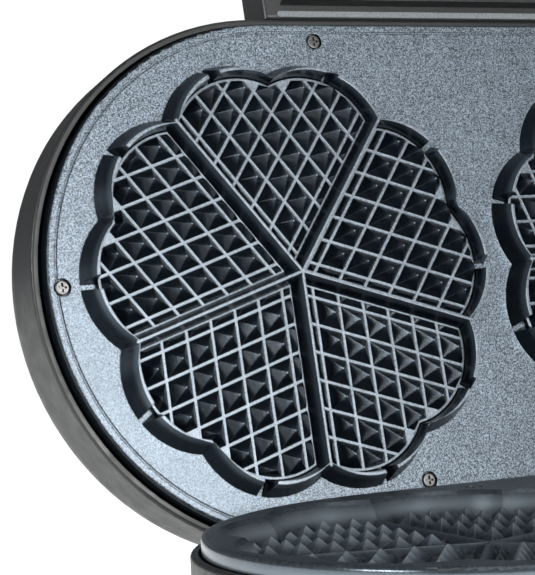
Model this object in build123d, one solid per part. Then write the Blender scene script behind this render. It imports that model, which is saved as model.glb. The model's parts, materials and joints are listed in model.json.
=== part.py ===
from build123d import *
import math
import os

os.makedirs("parts", exist_ok=True)

# ---- driving dimensions, mm ------------------------------------------------
# X right, Y to the back, Z up. The lid is drawn closed, then swung open.
PITCH = 164.0            # distance between the two five-heart flowers
PLATE_Z = 52.0           # top face of the lower baking plate above the table
CLOSED_GAP = 4.0         # between the two plate faces with the lid down
OPEN_DEG = 101.8         # how far the lid leans back when open
HINGE_Y = 90.1
HINGE_Z = PLATE_Z - 10.1

# plates: rounded ends of radius R about centres at +-HALF
PLATE_R = 94.0
PLATE_HALF = PITCH / 2 - 2.7
LOWER_R = 90.5
LOWER_HALF = PITCH / 2 - 4.7
PLATE_T = 2.5
SKIRT_WALL = 2.0
UPPER_SKIRT = 5.9
LOWER_SKIRT = 5.2

# shells
SHELL_WALL = 2.4
SHELL_R = PLATE_R + 1.3 + SHELL_WALL
IN_R = SHELL_R - SHELL_WALL
BASE_R = LOWER_R + 1.0 + SHELL_WALL
BASE_IN_R = BASE_R - SHELL_WALL
LIP_DROP = 5.2           # shell lip below the plate face
LID_DEPTH = 34.0
SHELL_FILLET = 15.0
LID_FACE = PLATE_Z + CLOSED_GAP
LID_LIP = LID_FACE + LIP_DROP
LID_TOP = LID_LIP + LID_DEPTH
BASE_LIP = PLATE_Z - LIP_DROP

# flower pattern: outline measured to lobe peaks and to the notches between lobes
LOBE_R = 80.0
LOBE_IN = 74.2
SPOKE_NOTCH_R = 71.7
MID_NOTCH_R = 74.1
SPOKE_NOTCH_IN = 66.1
MID_NOTCH_IN = 69.7
RIDGE_H = 9.0
RIDGE_SLOPE = 20.0       # outer face of the rim ridge
RIDGE_POCKET = 7.5       # inner face of the rim ridge
SPOKE_H = 9.0
SPOKE_BASE = 6.2
CREST = 1.0
RIDGE_GAP = 1.9          # slit through the rim at every lobe peak
RIDGE_GAP_TOP = 5.2
GRID_FIRST = 6.45        # first grid line from the spoke, along the other spoke
GRID_PITCH = 10.1
GRID_LINE = 1.1
VALLEY_Z = 2.4
PYRAMID_H = 5.1
CAVITY_DEPTH = 9.6
CAVITY_SLOPE = 25.0
CAVITY_CLEAR = 0.9
CAVITY_WALL = 2.2
LOWER_SPOKE_BASE = 5.2
LOWER_SPOKE_H = 3.4

# left flower and right flower: centre and turn, for the plate seen from its own food side
UPPER_FLOWERS = [(-PITCH / 2, 0.0), (PITCH / 2, -90.0)]
LOWER_FLOWERS = [(-PITCH / 2, 180.0), (PITCH / 2, -90.0)]
SPOKE_ANGLES = [54 + 72 * k for k in range(5)]
UPPER_SCREWS = [(side * x, y) for side in (-1, 1)
                for x, y in ((59.2, 87.4), (168.2, 0.5), (39.1, -76.8))]
LOWER_SCREWS = [(side * x, y) for side in (-1, 1) for x, y in ((59.2, 84.0), (39.1, -76.8))]

# base underside
COVER_Z = 6.0
COVER_T = 2.2
COVER_R = 72.0
REFLECT_Z = 26.0
POSTS = [(-112, 0), (112, 0), (0, -40), (0, 40)]
COVER_SCREWS = [(-144.3, 0), (144.3, 0), (-60, 67), (60, 67), (-60, -67), (60, -67)]
FEET = [(-120, 42), (120, 42), (-120, -42), (120, -42)]
BASE_TUBE_Z = PLATE_Z - CAVITY_DEPTH - PLATE_T - 3.3
LID_TUBE_Z = LID_FACE + PLATE_T + 3.3

# handles, hinge, latch, lamps and cord entry
HANDLE_HALF = 75.0
HANDLE_OUT = 45.0
HANDLE_FRONT = SHELL_R + HANDLE_OUT
HANDLE_ARM = 13.0
HANDLE_ROOT = 11.0
HANDLE_BAR = 13.0
HANDLE_H = 18.0
GRIP_SCREW_X = (-68.5, 68.5)
GRIP_SCREW_Z = BASE_LIP - HANDLE_H / 2
LID_SCREW_Z = LID_LIP + HANDLE_H / 2
ARM_X = 60.0
ARM_W = 11.0
ARM_BACK = 13.4          # outer face of the hinge arm behind the pivot
ARM_SCREW_Z = (25.0, 33.0)
PIN_R = 2.5
LUG_T = 3.5
LATCH_Y = -HANDLE_FRONT - 4.6
LATCH_Z = LID_LIP + 11
LATCH_DEG = 30.0
LENS_X = (-12.0, 12.0)
LENS_Y = -62.0
GLAND_Z = 29.5
BLOCK_Y = 72.0
LEAD_X = 9.0
LEAD_Y = 53.5

BLACK = (0.09, 0.1, 0.11)
COATED = (0.42, 0.44, 0.47)
DARK_METAL = (0.2, 0.22, 0.24)
STEEL = (0.7, 0.7, 0.72)
CERAMIC = (0.85, 0.84, 0.8)
RED = (0.75, 0.08, 0.05)
GREEN = (0.1, 0.6, 0.2)
TRIM = (0.6, 0.61, 0.62)


def polar(r, deg):
    return Vector(r * math.cos(math.radians(deg)), r * math.sin(math.radians(deg)), 0)


def slab(half, radius, z0, z1):
    return Pos(0, 0, z0) * extrude(SlotCenterToCenter(2 * half, 2 * radius), z1 - z0)


def ring(half, outer, inner, z0, z1):
    return slab(half, outer, z0, z1) - slab(half, inner, z0 - 1, z1 + 1)


def flower_face(lobe, spoke_notch, mid_notch):
    """Ten round lobes; deep notches at the spokes, shallow ones mid-heart."""
    edges = []
    for k in range(5):
        spoke = 54 + 72 * k
        mid = spoke + 36
        edges.append(ThreePointArc(polar(spoke_notch, spoke), polar(lobe, spoke + 18),
                                   polar(mid_notch, mid)))
        edges.append(ThreePointArc(polar(mid_notch, mid), polar(lobe, mid + 18),
                                   polar(spoke_notch, spoke + 72)))
    return make_face(Wire(edges).edges())


def ridge_bar(length, base, height):
    """Ridge of triangular section with a narrow flat crest, along +X from 0."""
    half = base / 2
    crest = CREST / 2
    section = Polyline((0, -half, 0), (0, half, 0), (0, crest, height), (0, -crest, height),
                       close=True)
    return extrude(make_face(section), amount=length, dir=(1, 0, 0))


def groove(line, depth, spread, reach):
    """V groove with a flat floor, cut along +X and centred on it."""
    half = line / 2
    section = Polyline((0, -half, 0), (0, half, 0), (0, half + spread, depth),
                       (0, half + spread, depth + 4), (0, -half - spread, depth + 4),
                       (0, -half - spread, depth), close=True)
    return Pos(-reach / 2, 0, 0) * extrude(make_face(section), amount=reach, dir=(1, 0, 0))


def heart_block(theta, inset):
    """Pyramids of one heart on a thin web, cut by two families of grooves; valleys at z=0."""
    step = GRID_PITCH * math.sin(math.radians(72))
    first = GRID_FIRST * math.sin(math.radians(72))
    spread = (step - GRID_LINE) / 2 - 0.25
    face = flower_face(LOBE_IN - inset, SPOKE_NOTCH_IN - inset, MID_NOTCH_IN - inset)
    far = 100.0
    edge = SPOKE_BASE / 2
    tip = polar(edge / math.sin(math.radians(36)), theta)
    wedge = make_face(Polyline(tip, tip + polar(far, theta - 36), tip + polar(1.2 * far, theta),
                               tip + polar(far, theta + 36), close=True))
    plan = face & wedge
    block = extrude(plan, PYRAMID_H, taper=18)
    cuts = []
    for side in (-1, 1):
        for k in range(7):
            distance = first + k * step
            shift = polar(distance, theta + side * 36 - side * 90)
            cuts.append(Pos(shift.X, shift.Y, 0) * Rot(0, 0, theta + side * 36)
                        * groove(GRID_LINE, PYRAMID_H, spread, 260))
    block = block - cuts
    pyramids = [s for s in block.solids() if s.volume > 2.0]
    web = Pos(0, 0, -0.6) * extrude(plan, 0.6)
    return web + pyramids


def flower_pair(shape, flowers):
    """The right-hand flower is the left one turned, so the two sit closer together."""
    return [Pos(x, 0, 0) * Rot(0, 0, deg) * shape for x, deg in flowers]


def all_hearts(inset):
    return [Rot(0, 0, 72 * k) * heart_block(90, inset) for k in range(5)]


def screw(head_r, head_h, shank_r, length):
    """Cross-head screw, head up, top of the head at z=0."""
    body = Pos(0, 0, -head_h / 2) * Cylinder(head_r, head_h)
    body = fillet(body.edges().group_by(Axis.Z)[-1], head_h * 0.35)
    body += Pos(0, 0, -head_h - length / 2) * Cylinder(shank_r, length)
    for deg in (0, 90):
        body -= Pos(0, 0, -0.4) * Rot(0, 0, deg) * Box(head_r * 1.25, head_r * 0.3, 1.2)
    return body


def save(shape, name, colour):
    shape.label = name
    shape.color = Color(*colour)
    export_step(shape, f"parts/{name}.step")


def group(shapes):
    return Compound(children=list(shapes))


# ---- lower baking plate ----------------------------------------------------
def cup(lobe_extra, depth, taper):
    face = flower_face(LOBE_R + lobe_extra, SPOKE_NOTCH_R + lobe_extra, MID_NOTCH_R + lobe_extra)
    return extrude(face, amount=depth, dir=(0, 0, -1), taper=taper)


def screw_holes(body, spots):
    for x, y in spots:
        body -= Pos(x, y, 0) * Cylinder(1.55, 20)
        body -= Pos(x, y, 0) * Cylinder(3.1, 3.4)
    return body


def lower_plate():
    body = slab(LOWER_HALF, LOWER_R, -LOWER_SKIRT, 0)
    body = fillet(body.edges().group_by(Axis.Z)[-1], 1.6)
    body -= slab(LOWER_HALF, LOWER_R - SKIRT_WALL, -LOWER_SKIRT - 1, -PLATE_T)
    outside = cup(CAVITY_CLEAR + CAVITY_WALL, CAVITY_DEPTH + PLATE_T, CAVITY_SLOPE)
    inside = cup(CAVITY_CLEAR, CAVITY_DEPTH, CAVITY_SLOPE)
    bevel = cup(CAVITY_CLEAR + 1.0, 1.2, 40)
    for part in flower_pair(outside, LOWER_FLOWERS):
        body += part
    for part in flower_pair(inside, LOWER_FLOWERS) + flower_pair(bevel, LOWER_FLOWERS):
        body -= part
    hearts = [Pos(0, 0, -CAVITY_DEPTH) * h for h in all_hearts(1.0)]
    spokes = [Rot(0, 0, a) * Pos(0, 0, -CAVITY_DEPTH - 0.2)
              * ridge_bar(SPOKE_NOTCH_R - 3, LOWER_SPOKE_BASE, LOWER_SPOKE_H)
              for a in SPOKE_ANGLES]
    for relief in hearts + spokes:
        for part in flower_pair(relief, LOWER_FLOWERS):
            body += part
    return Pos(0, 0, PLATE_Z) * screw_holes(body, [(x, -y) for x, y in LOWER_SCREWS])


# ---- upper baking plate, drawn with the food side up ------------------------
def rim_ridge():
    """Flower-shaped rim: sloped outside, steep inside, slit at every lobe peak."""
    outer = flower_face(LOBE_R, SPOKE_NOTCH_R, MID_NOTCH_R)
    inner = flower_face(LOBE_IN, SPOKE_NOTCH_IN, MID_NOTCH_IN)
    rim = extrude(outer, RIDGE_H, taper=RIDGE_SLOPE) - extrude(inner, RIDGE_H, taper=-RIDGE_POCKET)
    low = RIDGE_GAP / 2
    top = RIDGE_GAP_TOP / 2
    section = Polyline((0, -low, 0), (0, low, 0), (0, top, RIDGE_H + 1), (0, -top, RIDGE_H + 1),
                       close=True)
    slit = Pos(60, 0, 0) * extrude(make_face(section), amount=30, dir=(1, 0, 0))
    return rim - [Rot(0, 0, 36 * k) * slit for k in range(10)]


def upper_plate():
    body = slab(PLATE_HALF, PLATE_R, -UPPER_SKIRT, 0)
    body = fillet(body.edges().group_by(Axis.Z)[-1], 1.0)
    body -= slab(PLATE_HALF, PLATE_R - SKIRT_WALL, -UPPER_SKIRT - 1, -PLATE_T)
    body -= ring(PLATE_HALF, PLATE_R - 2.9, PLATE_R - 3.7, -0.5, 1)
    floor = extrude(flower_face(LOBE_IN, SPOKE_NOTCH_IN, MID_NOTCH_IN), VALLEY_Z)
    hearts = [Pos(0, 0, VALLEY_Z) * h for h in all_hearts(1.0)]
    spokes = [Rot(0, 0, a) * ridge_bar(SPOKE_NOTCH_R - 2.5, SPOKE_BASE, SPOKE_H)
              for a in SPOKE_ANGLES]
    for relief in [floor] + rim_ridge().solids() + hearts + spokes:
        for part in flower_pair(relief, UPPER_FLOWERS):
            body += part
    return screw_holes(body, UPPER_SCREWS)


def tilt(shape):
    """Swing a piece drawn on the closed lid back to the open rest position."""
    return (Pos(0, HINGE_Y, HINGE_Z) * Rot(-OPEN_DEG, 0, 0) * Pos(0, -HINGE_Y, -HINGE_Z)) * shape


def plate_in_lid(shape):
    return Pos(0, 0, LID_FACE) * Rot(180, 0, 0) * shape


# ---- outer shells ----------------------------------------------------------
def tub(half, radius, z0, z1, corner):
    """Tray with a rounded bottom edge, open rim lightly rounded."""
    body = slab(half, radius, z0, z1)
    body = fillet(body.edges().group_by(Axis.Z)[0], corner)
    body = fillet(body.edges().group_by(Axis.Z)[-1], 1.1)
    inside = slab(half, radius - SHELL_WALL, z0 + SHELL_WALL, z1 + 20)
    return body - fillet(inside.edges().group_by(Axis.Z)[0], corner - SHELL_WALL)


def boss(x, y, z0, z1):
    return Pos(x, y, (z0 + z1) / 2) * Cylinder(2.9, z1 - z0)


def bore(x, y, z0, z1, r=1.55):
    return Pos(x, y, (z0 + z1) / 2) * Cylinder(r, z1 - z0)


def hinge_axis(side, r, length):
    return Pos(side * ARM_X, HINGE_Y, HINGE_Z) * Rot(0, 90, 0) * Cylinder(r, length)


def base_shell():
    body = tub(LOWER_HALF, BASE_R, COVER_Z, BASE_LIP, SHELL_FILLET)
    body -= slab(LOWER_HALF, COVER_R - 10, COVER_Z - 1, COVER_Z + 5)
    for side in (-1, 1):
        body -= Pos(side * ARM_X, BASE_R, 40) * Box(ARM_W + 0.8, 12, 32)
        for k in (-1, 1):
            x = side * ARM_X + k * (ARM_W / 2 + 0.4 + LUG_T / 2)
            body += Pos(x, BASE_IN_R - 0.7, HINGE_Z) * Box(LUG_T, 10.5, 8.8)
        body -= hinge_axis(side, PIN_R + 0.03, ARM_W + 2 * LUG_T + 1.2)
    for x, y in LOWER_SCREWS:
        body += boss(x, -y, COVER_Z + 1, PLATE_Z - PLATE_T)
        body -= bore(x, -y, PLATE_Z - PLATE_T - 12, PLATE_Z + 1)
    for x, y in COVER_SCREWS:
        body -= bore(x, y, COVER_Z - 1, COVER_Z + 5, 1.25)
    body -= Pos(0, BASE_R, GLAND_Z) * Rot(90, 0, 0) * Cylinder(6.05, 12)
    for x in GRIP_SCREW_X:
        body -= Pos(x, -BASE_R, GRIP_SCREW_Z) * Rot(90, 0, 0) * Cylinder(1.55, 12)
    return body


def lid_shell():
    tray = tub(PLATE_HALF, SHELL_R, LID_LIP, LID_TOP, SHELL_FILLET)
    body = Pos(0, 0, LID_LIP + LID_TOP) * Rot(180, 0, 0) * tray
    for x, y in UPPER_SCREWS:
        body += boss(x, -y, LID_FACE + PLATE_T, LID_TOP - 1)
        body -= bore(x, -y, LID_FACE - 1, LID_FACE + PLATE_T + 12)
    for x in LENS_X:
        body -= Pos(x, LENS_Y, LID_TOP) * Cylinder(4.05, 20)
    for x in GRIP_SCREW_X:
        body -= Pos(x, -SHELL_R, LID_SCREW_Z) * Rot(90, 0, 0) * Cylinder(1.55, 12)
    for side in (-1, 1):
        for z in ARM_SCREW_Z:
            body -= Pos(side * ARM_X, SHELL_R, HINGE_Z + z) * Rot(90, 0, 0) * Cylinder(1.3, 12)
    return body


# ---- hinge -----------------------------------------------------------------
def hinge_arm(side):
    """Arm from the pivot up the back of the lid shell, drawn with the lid closed."""
    wall = SHELL_R - HINGE_Y
    profile = Polyline((0, 0, -4.2), (0, 8, -4.2), (0, ARM_BACK, 0.5), (0, ARM_BACK, 38),
                       (0, wall, 38), (0, wall, 17.5), (0, 4.6, 12), (0, 3.9, 2.4), (0, 0, 4.0),
                       close=True)
    arm = extrude(make_face(profile), amount=ARM_W / 2, dir=(1, 0, 0), both=True)
    arm += Rot(0, 90, 0) * Cylinder(4.5, ARM_W)
    arm -= Rot(0, 90, 0) * Cylinder(PIN_R + 0.06, ARM_W + 2)
    for z in ARM_SCREW_Z:
        arm -= Pos(0, 10, z) * Rot(90, 0, 0) * Cylinder(1.3, 20)
    return Pos(side * ARM_X, HINGE_Y, HINGE_Z) * arm


def hinge_pin(side):
    return hinge_axis(side, PIN_R, ARM_W + 7.6)


# ---- handles ---------------------------------------------------------------
def bridge(wall, z0, z1):
    """Handle bar across two arms, leaving a gap for the fingers."""
    depth = HANDLE_FRONT - wall
    plan = Rectangle(2 * HANDLE_HALF, depth)
    plan = fillet(plan.vertices().group_by(Axis.Y)[0], 14)
    outer = Pos(0, -wall - depth / 2, z0) * extrude(plan, z1 - z0)
    gap_depth = depth - HANDLE_ROOT - HANDLE_BAR
    gap = Pos(0, -wall - HANDLE_ROOT - gap_depth / 2, z0 - 1) * extrude(
        RectangleRounded(2 * (HANDLE_HALF - HANDLE_ARM), gap_depth, 8), z1 - z0 + 2)
    body = outer - gap
    ends = body.edges().group_by(Axis.Z)
    return fillet(ends[0] + ends[-1], 1.6)


def lid_handle():
    body = bridge(SHELL_R, LID_LIP, LID_LIP + HANDLE_H)
    body -= Pos(0, -SHELL_R - 1.9, LID_LIP) * extrude(SlotOverall(2 * 70, 2.2), 1.0, both=True)
    body -= Pos(0, -SHELL_R - 5.7, LID_LIP) * extrude(SlotOverall(2 * 68, 4.2), 6.5, both=True)
    for side in (-1, 1):
        ear = Pos(side * 15.7, LATCH_Y + 2.0, LATCH_Z) * Box(3, 7, 8)
        ear += Pos(side * 15.7, LATCH_Y, LATCH_Z) * Rot(0, 90, 0) * Cylinder(4, 3)
        body += ear
        body -= Pos(side * 15.7, LATCH_Y, LATCH_Z) * Rot(0, 90, 0) * Cylinder(1.53, 6)
    for x in GRIP_SCREW_X:
        body -= Pos(x, -SHELL_R, LID_SCREW_Z) * Rot(90, 0, 0) * Cylinder(1.3, 12)
    return body


def handle_trim():
    return Pos(0, -SHELL_R - 1.9, LID_LIP - 0.5) * extrude(SlotOverall(2 * 70, 2.2), 1.5)


def base_grip():
    body = bridge(BASE_R, BASE_LIP - HANDLE_H, BASE_LIP)
    for x in GRIP_SCREW_X:
        body -= Pos(x, -BASE_R, GRIP_SCREW_Z) * Rot(90, 0, 0) * Cylinder(1.3, 12)
    return body


def latch_clip():
    reach = LATCH_Z - (BASE_LIP - HANDLE_H - 0.8)
    body = Rot(0, 90, 0) * Cylinder(3.6, 27)
    body += Pos(0, -2.1, -reach / 2 - 1.6) * Box(27, 3, reach + 3.2)
    body += Pos(0, 3.2, -reach - 1.6) * Box(20, 9.6, 3.2)
    body += Pos(0, -4.6, -reach - 0.4) * Box(27, 5, 2.4)
    body -= Rot(0, 90, 0) * Cylinder(1.56, 40)
    swing = Pos(0, LATCH_Y, LATCH_Z) * Rot(-LATCH_DEG, 0, 0)
    return swing * body


def latch_pin():
    return Pos(0, LATCH_Y, LATCH_Z) * Rot(0, 90, 0) * Cylinder(1.5, 34.4)


# ---- heating, wiring and small parts --------------------------------------
def element(half, radius, tube, z):
    """Tubular heater bent into a long loop, its two cold ends at the back."""
    gap = 14
    path = [Line((gap, radius, z), (half, radius, z)),
            ThreePointArc((half, radius, z), (half + radius, 0, z), (half, -radius, z)),
            Line((half, -radius, z), (-half, -radius, z)),
            ThreePointArc((-half, -radius, z), (-half - radius, 0, z), (-half, radius, z)),
            Line((-half, radius, z), (-gap, radius, z))]
    section = Plane((gap, radius, z), z_dir=(1, 0, 0)) * Circle(tube)
    body = sweep(section, path=Wire(path))
    for side in (-1, 1):
        body += Pos(side * (gap - 3), radius, z) * Rot(0, 90, 0) * Cylinder(1.2, 7)
    return body


def reflector(half, radius, z, wall_z, spots):
    """Thin tray with an upstand, cleared round the screw bosses."""
    body = slab(half, radius, z, z + 0.8)
    body += ring(half, radius, radius - 0.8, wall_z, wall_z + 5)
    for x, y in spots:
        body -= bore(x, -y, z - 10, z + 10, 3.4)
    return body


def lower_reflector():
    body = reflector(LOWER_HALF, 79.5, REFLECT_Z, REFLECT_Z, LOWER_SCREWS)
    for side in (-1, 1):
        body -= bore(side * LEAD_X, LEAD_Y, REFLECT_Z - 1, REFLECT_Z + 2, 3.0)
    return body


def base_cover():
    body = slab(LOWER_HALF, COVER_R, COVER_Z - COVER_T, COVER_Z)
    body += [boss(x, y, COVER_Z - 0.5, REFLECT_Z) for x, y in POSTS]
    for x, y in COVER_SCREWS:
        body -= bore(x, y, 0, COVER_Z + 1, 1.45)
    for k in range(-4, 5):
        for x in (-60, 60):
            body -= Pos(x + 7 * k, 0, 0) * extrude(SlotOverall(34, 2.6, rotation=90), 12)
    return body


def foot():
    height = COVER_Z - COVER_T
    body = Pos(0, 0, height / 2) * Cylinder(9, height)
    body = fillet(body.edges().group_by(Axis.Z)[0], 1.2)
    return body - Cylinder(4, 1.6)


def thermostat():
    body = Cylinder(9, 9)
    body = chamfer(body.edges().group_by(Axis.Z)[0], 1)
    for side in (-1, 1):
        body += Pos(side * 5, 0, -6.5) * Box(0.9, 6.3, 6)
    return Pos(0, -68, PLATE_Z - PLATE_T - 4.5) * body


def fuse(y, z):
    body = Pos(0, y, z) * Rot(0, 90, 0) * Cylinder(2.6, 13)
    return body + Pos(0, y, z) * Rot(0, 90, 0) * Cylinder(0.7, 26)


def terminal_block():
    floor = COVER_Z + SHELL_WALL
    body = Pos(0, BLOCK_Y, floor + 5.6) * Box(34, 12, 11.2)
    for x in (-11, 0, 11):
        body -= Pos(x, BLOCK_Y, floor + 11.2) * Cylinder(2.4, 5)
        body -= Pos(x, BLOCK_Y, floor + 4.6) * Rot(90, 0, 0) * Cylinder(1.8, 20)
    return body


def cord_gland():
    """Barrel through the back wall, flange outside, lock ring inside."""
    flange = Pos(0, BASE_R + 1.5, GLAND_Z) * Rot(90, 0, 0) * Cylinder(8.2, 3)
    barrel = Pos(0, BASE_R - 1.45, GLAND_Z) * Rot(90, 0, 0) * Cylinder(6, 8.9)
    lock = Pos(0, BASE_IN_R - 1.75, GLAND_Z) * Rot(90, 0, 0) * Cylinder(7.6, 3.5)
    return flange + barrel + lock - Pos(0, BASE_R, GLAND_Z) * Rot(90, 0, 0) * Cylinder(3.3, 30)


def lead(side):
    """Stiff wire from the terminal block up to a cold end of the heater."""
    path = Spline([Vector(side * 11, BLOCK_Y - 4, 13), Vector(side * 11, 63, 13.4),
                   Vector(side * 9.6, 57, 18.5), Vector(side * LEAD_X, LEAD_Y, 26.4),
                   Vector(side * LEAD_X, 52, BASE_TUBE_Z - 1.5)])
    section = Plane(path @ 0, z_dir=path % 0) * Circle(1.1)
    return sweep(section, path=path)


def lens():
    body = Pos(0, 0, -2.4) * Cylinder(4, 6)
    body = fillet(body.edges().group_by(Axis.Z)[-1], 1.2)
    return body + Pos(0, 0, -SHELL_WALL - 1) * Cylinder(5, 2)


def wall_screw(x, z, y, turn, head, length):
    """Screw driven through a wall along Y."""
    return Pos(x, y, z) * Rot(turn, 0, 0) * screw(head, 2.0, 1.25, length)


def build():
    plate_screw = screw(2.6, 1.5, 1.5, 9.5)
    cover_screw = Rot(180, 0, 0) * screw(2.4, 1.5, 1.2, 5)
    yield "base_shell", base_shell(), BLACK
    yield "lower_plate", lower_plate(), DARK_METAL
    yield "lower_plate_screws", group(Pos(x, -y, PLATE_Z - 0.1) * plate_screw
                                      for x, y in LOWER_SCREWS), STEEL
    yield "lower_heating_element", element(LOWER_HALF, 52, 3.3, BASE_TUBE_Z), STEEL
    yield "lower_reflector", lower_reflector(), STEEL
    yield "base_cover", base_cover(), BLACK
    yield "base_cover_screws", group(Pos(x, y, COVER_Z - COVER_T - 1.5) * cover_screw
                                     for x, y in COVER_SCREWS), STEEL
    yield "feet", group(Pos(x, y, 0) * foot() for x, y in FEET), BLACK
    yield "thermostat", thermostat(), STEEL
    yield "lower_thermal_fuse", fuse(68, PLATE_Z - PLATE_T - 2.6), STEEL
    yield "terminal_block", terminal_block(), CERAMIC
    yield "cord_gland", cord_gland(), BLACK
    yield "heater_leads", group(lead(side) for side in (-1, 1)), CERAMIC
    yield "base_grip", base_grip(), BLACK
    yield "base_grip_screws", group(wall_screw(x, GRIP_SCREW_Z, -BASE_IN_R + 2.0, -90, 2.6, 7)
                                    for x in GRIP_SCREW_X), STEEL
    yield "hinge_pin_left", hinge_pin(-1), STEEL
    yield "hinge_pin_right", hinge_pin(1), STEEL
    yield "lid_shell", tilt(lid_shell()), BLACK
    yield "upper_plate", tilt(plate_in_lid(upper_plate())), COATED
    yield "upper_plate_screws", group(tilt(plate_in_lid(Pos(x, y, -0.1) * plate_screw))
                                      for x, y in UPPER_SCREWS), STEEL
    yield "upper_heating_element", tilt(element(PLATE_HALF, 52, 3.3, LID_TUBE_Z)), STEEL
    upper_tray = reflector(PLATE_HALF, 84, LID_FACE + 19, LID_FACE + 14.8, UPPER_SCREWS)
    yield "upper_reflector", tilt(upper_tray), STEEL
    yield "upper_thermal_fuse", tilt(fuse(-68, LID_FACE + PLATE_T + 2.6)), STEEL
    yield "hinge_arm_left", tilt(hinge_arm(-1)), STEEL
    yield "hinge_arm_right", tilt(hinge_arm(1)), STEEL
    arm_screws = [wall_screw(side * ARM_X, HINGE_Z + z, HINGE_Y + ARM_BACK + 2.0, -90, 2.6, 7.8)
                  for side in (-1, 1) for z in ARM_SCREW_Z]
    yield "hinge_arm_screws", group(tilt(s) for s in arm_screws), STEEL
    yield "lid_handle", tilt(lid_handle()), BLACK
    yield "handle_trim", tilt(handle_trim()), TRIM
    yield "lid_handle_screws", group(tilt(wall_screw(x, LID_SCREW_Z, -IN_R + 2.0, -90, 2.6, 7))
                                     for x in GRIP_SCREW_X), STEEL
    yield "latch_clip", tilt(latch_clip()), BLACK
    yield "latch_pin", tilt(latch_pin()), STEEL
    yield "power_lens", tilt(Pos(LENS_X[0], LENS_Y, LID_TOP) * lens()), RED
    yield "ready_lens", tilt(Pos(LENS_X[1], LENS_Y, LID_TOP) * lens()), GREEN
    lamps = [Pos(x, LENS_Y, LID_TOP - 10.5) * Cylinder(2.6, 9.6) for x in LENS_X]
    yield "indicator_lamps", group(tilt(s) for s in lamps), CERAMIC


def main():
    """Origin: middle of the assembled footprint, on the table."""
    pieces = list(build())
    front = min(shape.bounding_box().min.Y for _, shape, _ in pieces)
    back = max(shape.bounding_box().max.Y for _, shape, _ in pieces)
    for name, shape, colour in pieces:
        save(Pos(0, -(front + back) / 2, 0) * shape, name, colour)
    print("origin shift in Y", (front + back) / 2)


if __name__ == "__main__":
    main()
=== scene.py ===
"""Looks for the open two-flower heart waffle iron: materials, light, floor and camera."""

import json
import math

import bpy
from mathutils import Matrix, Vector

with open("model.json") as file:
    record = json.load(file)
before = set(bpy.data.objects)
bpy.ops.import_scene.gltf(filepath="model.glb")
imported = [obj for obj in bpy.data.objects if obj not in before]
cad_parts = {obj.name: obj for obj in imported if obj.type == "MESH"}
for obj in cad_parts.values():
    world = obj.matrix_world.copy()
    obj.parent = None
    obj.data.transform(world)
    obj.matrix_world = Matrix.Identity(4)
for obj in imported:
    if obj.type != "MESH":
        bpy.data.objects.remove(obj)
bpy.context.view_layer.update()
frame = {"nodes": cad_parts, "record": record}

MM = 0.001

# Camera: place in metres, turn as XYZ angles in degrees.
CAMERA_PLACE = Vector((-397.96, -525.02, 132.23)) * MM
CAMERA_TURN = (89.308, 2.932, -25.96)
LENS_MM = 124.42
SENSOR_MM = 36.0
CLIP_START = 0.01

# Food faces of the two plates at rest: outward normal and how high the face sits along it.
OPEN = math.radians(101.8)
PIVOT_TO_LID_FACE = 14.1 * MM
LID_NORMAL = Vector((0.0, -math.sin(OPEN), -math.cos(OPEN)))
LID_PIVOT = Vector(frame["record"]["behaviour"]["joints"][0]["pos_m"])
LID_LEVEL = LID_PIVOT.dot(LID_NORMAL) - PIVOT_TO_LID_FACE
BASE_NORMAL = Vector((0.0, 0.0, 1.0))
BASE_LEVEL = 52.0 * MM

# Grain sizes of the coating, the plastic and the bare metal, in metres.
SPECKLE = 0.55 * MM
SLOPE_GRAIN = 1.6 * MM
MOTTLE = 16.0 * MM
PLASTIC_GRAIN = 0.9 * MM
PLASTIC_RELIEF = 0.7 * MM
METAL_STREAK = 4.0 * MM

# How squarely a coated face must look along the plate normal to count as flat; less square faces
# take the slope colour, which on the lid plate is painted shade.
FLAT_FROM, FLAT_TO = 0.80, 0.97

# Studio: how bright the surroundings look, how much they light the iron, the floor's own
# glow, and the points that the lights aim at.
WORLD_SEEN = 1.05
WORLD_LIGHT = 0.12
FLOOR_GLOW = 0.92
PLATE_TARGET = (-0.08, 0.1, 0.14)
BASE_TARGET = (-0.1, 0, 0.06)


# ---- material helpers -------------------------------------------------------
def shade(rgb, factor):
    """The same colour darker or lighter, no channel above 1."""
    return tuple(min(1.0, channel * factor) for channel in rgb)


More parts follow.
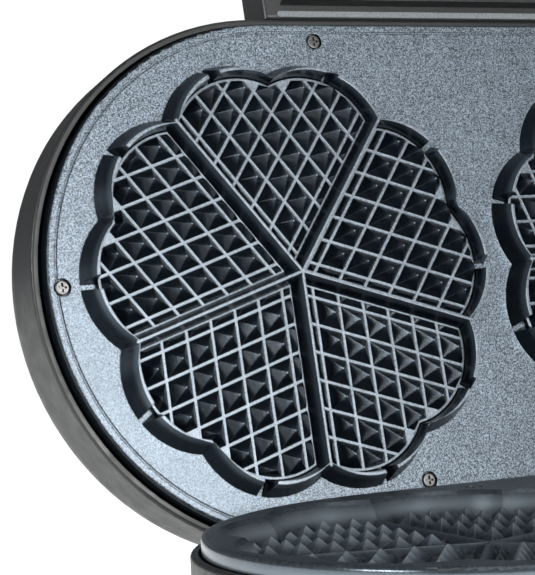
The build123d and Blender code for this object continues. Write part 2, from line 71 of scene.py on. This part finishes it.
class Shader:
    """One material and its node tree, built up by short calls."""

    def __init__(self, name, **values):
        """Values go straight onto the shader's sockets, with _ for a space."""
        self.material = bpy.data.materials.new(name)
        self.material.use_nodes = True
        self.tree = self.material.node_tree
        self.bsdf = self.tree.nodes["Principled BSDF"]
        for key, value in values.items():
            self.bsdf.inputs[key.replace("_", " ")].default_value = value
        where = self.node("ShaderNodeTexCoord")
        self.place = where.outputs["Object"]
        self.normal = where.outputs["Normal"]

    def node(self, kind, **settings):
        """Add a node and set its properties."""
        made = self.tree.nodes.new(kind)
        for key, value in settings.items():
            setattr(made, key, value)
        return made

    def link(self, source, target):
        self.tree.links.new(source, target)

    def noise(self, size, detail=2.0, rough=0.5, stretch=(1, 1, 1)):
        """Noise whose grains are about size metres across."""
        scale = self.node("ShaderNodeMapping")
        scale.inputs["Scale"].default_value = [s / size for s in stretch]
        self.link(self.place, scale.inputs["Vector"])
        texture = self.node("ShaderNodeTexNoise")
        texture.inputs["Scale"].default_value = 1.0
        texture.inputs["Detail"].default_value = detail
        texture.inputs["Roughness"].default_value = rough
        self.link(scale.outputs["Vector"], texture.inputs["Vector"])
        return texture.outputs["Fac"]

    def along(self, source, direction):
        """Component of a vector along a fixed direction."""
        dot = self.node("ShaderNodeVectorMath", operation="DOT_PRODUCT")
        self.link(source, dot.inputs[0])
        dot.inputs[1].default_value = direction
        return dot.outputs["Value"]

    def remap(self, source, low, high):
        """0 at low, 1 at high, clamped and smoothed."""
        spread = self.node("ShaderNodeMapRange", interpolation_type="SMOOTHSTEP")
        spread.inputs["From Min"].default_value = low
        spread.inputs["From Max"].default_value = high
        self.link(source, spread.inputs["Value"])
        return spread.outputs["Result"]

    def ramp(self, source, *stops):
        """Colour ramp; each stop is (position, grey or (r, g, b))."""
        made = self.node("ShaderNodeValToRGB")
        elements = made.color_ramp.elements
        while len(elements) < len(stops):
            elements.new(0.5)
        for element, (position, colour) in zip(elements, stops):
            element.position = position
            rgb = colour if isinstance(colour, tuple) else (colour,) * 3
            element.color = (*rgb, 1)
        self.link(source, made.inputs["Fac"])
        return made.outputs["Color"]

    def mix(self, factor, first, second, blend="MIX"):
        """Blend two colours; each may be an (r, g, b) or a socket."""
        mixer = self.node("ShaderNodeMix", data_type="RGBA", blend_type=blend)
        factor_in, first_in, second_in = (mixer.inputs[index] for index in (0, 6, 7))
        if isinstance(factor, float):
            factor_in.default_value = factor
        else:
            self.link(factor, factor_in)
        for value, socket in ((first, first_in), (second, second_in)):
            if isinstance(value, tuple):
                socket.default_value = (*value, 1)
            else:
                self.link(value, socket)
        return mixer.outputs[2]

    def colour(self, source):
        self.link(source, self.bsdf.inputs["Base Color"])

    def rough(self, source):
        self.link(source, self.bsdf.inputs["Roughness"])

    def bump(self, source, strength, height, edge=0.0):
        """Fine relief; edge rounds the corners by that many metres."""
        bump = self.node("ShaderNodeBump")
        if edge > 0:
            bevel = self.node("ShaderNodeBevel", samples=6)
            bevel.inputs["Radius"].default_value = edge
            self.link(bevel.outputs["Normal"], bump.inputs["Normal"])
        bump.inputs["Strength"].default_value = strength
        bump.inputs["Distance"].default_value = height
        self.link(source, bump.inputs["Height"])
        self.link(bump.outputs["Normal"], self.bsdf.inputs["Normal"])


def coated_plate(name, face, colours, tip_highlight_band, highlight_fade_band, gloss):
    """Non-stick coating: speckled lands, raised flats lighter as a painted highlight, dark
    slopes with a painted highlight towards the tips.

    face is (normal, level). The bands are heights in mm over that level: over the first the
    slopes pale towards the tips as a painted highlight, over the second they fall back to their
    dark tone.
    """
    normal, level = face
    land, raised_highlight, slope, tip_highlight = (colours[key] for key in ("land", "raised_highlight", "slope", "tip_highlight"))
    s = Shader(name, Metallic=0.6)
    height = s.along(s.place, normal)

    def band(low, high):
        return s.remap(height, level + low * MM, level + high * MM)

    # Faces tipped away from the plate normal take the slope colour in place of the flat colour:
    # painted shade where the slope colour is darker.
    flat = s.remap(s.along(s.normal, normal), FLAT_FROM, FLAT_TO)
    speck = s.noise(SPECKLE, 2.0, 0.6)
    lands = s.ramp(speck, (0.38, shade(land, 0.3)), (0.5, land), (0.62, shade(land, 2.1)))
    # Raised flats take a lighter colour than the lands: a painted highlight.
    raised_highlights = s.ramp(speck, (0.38, shade(raised_highlight, 0.6)), (0.62, shade(raised_highlight, 1.35)))
    slopes = s.ramp(s.noise(SLOPE_GRAIN, 3.0, 0.6),
                    (0.3, shade(slope, 0.6)), (0.7, shade(slope, 1.5)))
    # Slopes pale towards the tips as a painted highlight, then fall back to the dark tone higher
    # up.
    slopes = s.mix(band(*highlight_fade_band), s.mix(band(*tip_highlight_band), slopes, tip_highlight), slopes)
    # Flats more than about a millimetre proud of the face get the painted highlight colour.
    top = s.mix(band(0.6, 1.2), lands, raised_highlights)
    mottle = s.ramp(s.noise(MOTTLE, 3.0), (0.3, 0.92), (0.7, 1.06))
    s.colour(s.mix(1.0, s.mix(flat, slopes, top), mottle, "MULTIPLY"))
    s.rough(s.mix(flat, (gloss,) * 3, s.ramp(speck, (0.38, 0.3), (0.62, 0.5))))
    s.bump(speck, 0.4, 0.08 * MM, edge=0.6 * MM)
    return s.material


def moulded_plastic(name, grey, warmth=1.0):
    """Dark plastic with a fine spark-eroded grain."""
    s = Shader(name, Metallic=0.0, Roughness=0.42)
    base = (grey * warmth, grey * 1.14, grey * 1.2)
    s.colour(s.ramp(s.noise(PLASTIC_GRAIN, 3.0, 0.6),
                    (0.35, shade(base, 0.8)), (0.65, shade(base, 1.25))))
    s.rough(s.ramp(s.noise(6.0 * MM, 2.0), (0.3, 0.38), (0.7, 0.5)))
    s.bump(s.noise(PLASTIC_RELIEF, 3.0, 0.6), 0.35, 0.08 * MM)
    return s.material


def brushed_metal(name, grey, tint=(1.0, 1.0, 1.0), rough=0.3, stretch=(1, 12, 1)):
    """Worn bare metal with fine streaks."""
    s = Shader(name, Metallic=1.0, Roughness=rough)
    base = shade(tint, grey)
    s.colour(s.ramp(s.noise(METAL_STREAK, 4.0, 0.6, stretch),
                    (0.3, shade(base, 0.82)), (0.7, shade(base, 1.12))))
    s.rough(s.ramp(s.noise(3.0 * MM, 3.0, 0.6, stretch), (0.3, rough * 0.8), (0.7, rough * 1.3)))
    s.bump(s.noise(2.0 * MM, 3.0, 0.6, stretch), 0.15, 0.03 * MM)
    return s.material


def rubber(name, grey):
    """Matte rubber or lead sleeve, slightly uneven."""
    s = Shader(name, Metallic=0.0, Roughness=0.75)
    s.colour(s.ramp(s.noise(2.0 * MM, 4.0), (0.3, grey * 0.8), (0.7, grey * 1.3)))
    s.bump(s.noise(0.6 * MM, 3.0), 0.4, 0.1 * MM)
    return s.material


def clear_plastic(name, rgb):
    """Tinted lens, faintly cloudy inside."""
    s = Shader(name, Roughness=0.12, IOR=1.49, Transmission_Weight=0.6)
    s.colour(s.ramp(s.noise(3.0 * MM, 3.0), (0.3, shade(rgb, 0.75)), (0.7, rgb)))
    s.rough(s.ramp(s.noise(4.0 * MM, 2.0), (0.3, 0.08), (0.7, 0.2)))
    return s.material


# Coating colours. The raised-flat and tip colours are painted highlights; the lid plate's
# near-black slope colour is painted shade.
UPPER_COATING = {
    "land": (0.112, 0.137, 0.162),
    "raised_highlight": (0.17, 0.20, 0.232),
    "slope": (0.007, 0.012, 0.017),
    "tip_highlight": (0.06, 0.08, 0.10),
}
LOWER_COATING = {
    "land": (0.040, 0.050, 0.058),
    "raised_highlight": (0.40, 0.45, 0.49),
    "slope": (0.045, 0.058, 0.070),
    "tip_highlight": (0.17, 0.205, 0.235),
}
MATERIALS = {
    "moulded_plastic": moulded_plastic("plastic_dark", 0.013),
    "coated_plate": coated_plate("coating_light", (LID_NORMAL, LID_LEVEL), UPPER_COATING,
                                 (5.2, 8.6), (9, 10), 0.24),
    "dark_coated_plate": coated_plate("coating_dark", (BASE_NORMAL, BASE_LEVEL), LOWER_COATING,
                                      (-7.8, -4.2), (-4.6, 0), 0.2),
    "screw_steel": brushed_metal("screw_steel", 0.12, rough=0.36),
    "element_steel": brushed_metal("element_steel", 0.42, (1.0, 0.95, 0.88), 0.4),
    "reflector_sheet": brushed_metal("reflector_sheet", 0.75, rough=0.22, stretch=(1, 20, 1)),
    "foot_rubber": rubber("foot_rubber", 0.03),
    "thermostat_can": brushed_metal("thermostat_can", 0.7, rough=0.35),
    "terminal_nylon": moulded_plastic("terminal_nylon", 0.6, 1.15),
    "lead_sleeve": rubber("lead_sleeve", 0.6),
    "trim_plastic": moulded_plastic("trim_plastic", 0.13),
    "red_lens": clear_plastic("red_lens", (0.7, 0.04, 0.03)),
    "green_lens": clear_plastic("green_lens", (0.05, 0.5, 0.12)),
    "lamp_glass": clear_plastic("lamp_glass", (0.95, 0.7, 0.5)),
    "fuse_metal": brushed_metal("fuse_metal", 0.65, rough=0.3),
}
SLOT_OF = {part["node"]: part["material_slot"] for part in frame["record"]["subparts"]}

for node_name, node in frame["nodes"].items():
    node.data.materials.clear()
    node.data.materials.append(MATERIALS[SLOT_OF[node_name]])


# ---- studio -----------------------------------------------------------------
def pale_floor():
    """Large pale table top that glows almost white by itself."""
    bpy.ops.mesh.primitive_plane_add(size=40, location=(0, 0, 0))
    floor = bpy.context.object
    floor.name = "studio_floor"
    s = Shader("studio_floor", Roughness=0.9, Emission_Color=(1, 1, 1, 1),
               Emission_Strength=FLOOR_GLOW)
    s.colour(s.ramp(s.noise(0.4, 2.0), (0.3, (0.9, 0.9, 0.9)), (0.7, (0.93, 0.93, 0.93))))
    floor.data.materials.append(s.material)


def area_light(name, place, target, size, power):
    """White rectangular light at place, aimed at target."""
    data = bpy.data.lights.new(name, "AREA")
    data.shape = "RECTANGLE"
    data.size, data.size_y = size
    data.energy = power
    lamp = bpy.data.objects.new(name, data)
    lamp.location = place
    lamp.rotation_euler = (Vector(target) - Vector(place)).to_track_quat("-Z", "Y").to_euler()
    bpy.context.scene.collection.objects.link(lamp)


def white_world():
    """White backdrop that adds only a little light of its own."""
    world = bpy.data.worlds.new("studio")
    world.use_nodes = True
    tree = world.node_tree
    seen = tree.nodes.new("ShaderNodeLightPath").outputs["Is Camera Ray"]
    strength = tree.nodes.new("ShaderNodeMapRange")
    strength.inputs["To Min"].default_value = WORLD_LIGHT
    strength.inputs["To Max"].default_value = WORLD_SEEN
    tree.links.new(seen, strength.inputs["Value"])
    background = tree.nodes["Background"]
    background.inputs["Color"].default_value = (1.0, 1.0, 1.0, 1)
    tree.links.new(strength.outputs["Result"], background.inputs["Strength"])
    bpy.context.scene.world = world


def studio():
    """Floor, backdrop and three soft lights; the softbox gives the lid plate its sheen."""
    pale_floor()
    white_world()
    area_light("softbox", (0.17, -0.92, 0.33), PLATE_TARGET, (0.36, 0.42), 11)
    area_light("key", (-1.3, -0.3, 0.6), BASE_TARGET, (0.4, 0.4), 13)
    area_light("top", (0.2, 0.0, 1.6), PLATE_TARGET, (1.2, 0.8), 3.5)


def camera():
    """Low view from the front left at the open lid, as in the photo."""
    data = bpy.data.cameras.new("camera")
    data.lens = LENS_MM
    data.sensor_width = SENSOR_MM
    data.clip_start = CLIP_START
    shot = bpy.data.objects.new("camera", data)
    shot.location = CAMERA_PLACE
    shot.rotation_euler = [math.radians(angle) for angle in CAMERA_TURN]
    bpy.context.scene.collection.objects.link(shot)
    bpy.context.scene.camera = shot


studio()
camera()
bpy.context.scene.view_settings.view_transform = "Standard"
